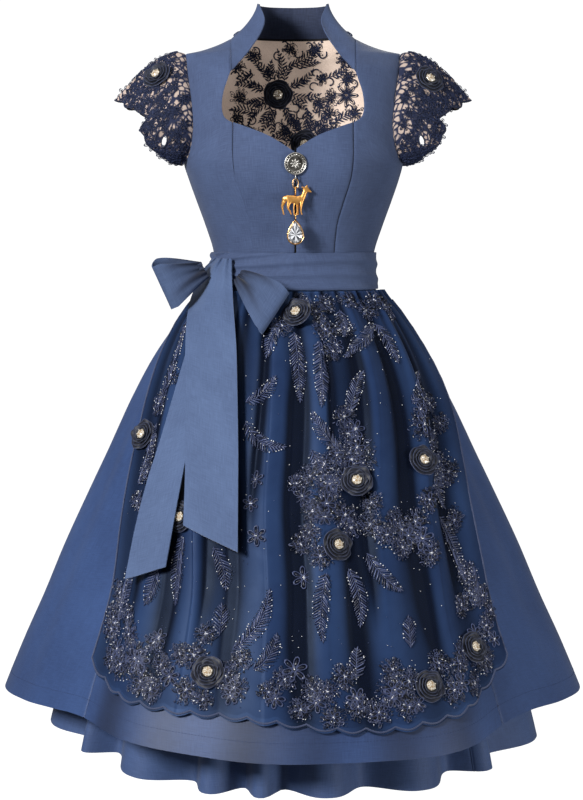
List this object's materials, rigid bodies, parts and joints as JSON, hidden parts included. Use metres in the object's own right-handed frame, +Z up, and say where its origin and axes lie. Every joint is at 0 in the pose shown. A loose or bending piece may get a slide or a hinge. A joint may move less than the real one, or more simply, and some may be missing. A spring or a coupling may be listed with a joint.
{
  "type": "dirndl dress with apron, shaped as worn",
  "caption": "Dirndl with standing collar, lace cap sleeves, full skirt over a fluted underskirt, gathered apron tied with a side bow, cloth rosettes and a hanging pendant.",
  "frame": {"origin": "midway between the two shoulder points, at their height, where the wearer's shoulders carry the dress", "axes": "+Z up along the wearer's body, -Y to the front, +X to the wearer's left"},
  "size_m": [0.9038, 0.8471, 1.1375],
  "materials": {
    "bodice_linen": "fine slub linen weave, matte, slate blue",
    "skirt_linen": "fine linen and cotton weave with a faint sheen, blue",
    "navy_satin": "satin under sheer tulle, soft sheen, navy",
    "navy_facing": "plain weave, matte, dark navy",
    "lace_on_nude_net": "fine nude net carrying corded navy lace",
    "navy_lace": "corded lace, matte, dark navy",
    "navy_taffeta": "gathered bands with a low sheen, dark navy",
    "black_tape": "matte woven tape",
    "antique_silver": "relief with darkened hollows",
    "gold": "polished gilding",
    "crystal": "clear, facet cut"
  },
  "bodies": {
    "root": {"centre_front_left": "bodice_linen", "centre_front_right": "bodice_linen", "side_front_left": "bodice_linen", "side_front_right": "bodice_linen", "back_centre": "bodice_linen", "side_back_left": "bodice_linen", "side_back_right": "bodice_linen", "back_yoke": "lace_on_nude_net", "front_placket": "black_tape", "collar": "bodice_linen", "collar_facing": "navy_facing", "skirt_front": "skirt_linen", "skirt_left": "skirt_linen", "skirt_back": "skirt_linen", "skirt_right": "skirt_linen", "underskirt_front": "skirt_linen", "underskirt_left": "skirt_linen", "underskirt_back": "skirt_linen", "underskirt_right": "skirt_linen", "apron": "navy_satin", "sash": "bodice_linen", "sleeve_left": "navy_lace", "sleeve_right": "navy_lace", "rosette_apron_1": "navy_taffeta", "stone_apron_1": "crystal", "rosette_apron_2": "navy_taffeta", "stone_apron_2": "crystal", "rosette_apron_3": "navy_taffeta", "stone_apron_3": "crystal", "rosette_apron_4": "navy_taffeta", "stone_apron_4": "crystal", "rosette_apron_5": "navy_taffeta", "stone_apron_5": "crystal", "rosette_apron_6": "navy_taffeta", "stone_apron_6": "crystal", "rosette_apron_7": "navy_taffeta", "stone_apron_7": "crystal", "rosette_apron_8": "navy_taffeta", "stone_apron_8": "crystal", "rosette_apron_9": "navy_taffeta", "stone_apron_9": "crystal", "rosette_sleeve_left": "navy_taffeta", "stone_sleeve_left": "crystal", "rosette_sleeve_right": "navy_taffeta", "stone_sleeve_right": "crystal", "rosette_yoke_upper": "navy_taffeta", "stone_yoke_upper": "crystal", "rosette_yoke_lower": "navy_taffeta", "stone_yoke_lower": "crystal", "bow_knot": "bodice_linen", "bow_tail_back": "bodice_linen", "bow_tail_front": "bodice_linen", "bow_loop_right": "bodice_linen", "bow_loop_left": "bodice_linen", "medallion": "antique_silver"},
    "link": {"pendant_link": "gold"},
    "charm": {"deer_charm": "gold"},
    "drop": {"drop_setting": "gold", "drop_crystal": "crystal"}
  },
  "joints": [
    {"name": "link_swing", "type": "hinge", "parent": "root", "child": "link", "pos_m": [0.0036, -0.12666, -0.1955], "axis": [0, 1, 0], "range_deg": [-20, 20]},
    {"name": "charm_swing", "type": "hinge", "parent": "link", "child": "charm", "pos_m": [0.0036, -0.12666, -0.2051], "axis": [0, 1, 0], "range_deg": [-20, 20]},
    {"name": "drop_swing", "type": "hinge", "parent": "charm", "child": "drop", "pos_m": [0.0036, -0.12666, -0.2451], "axis": [0, 1, 0], "range_deg": [-20, 20]}
  ]
}
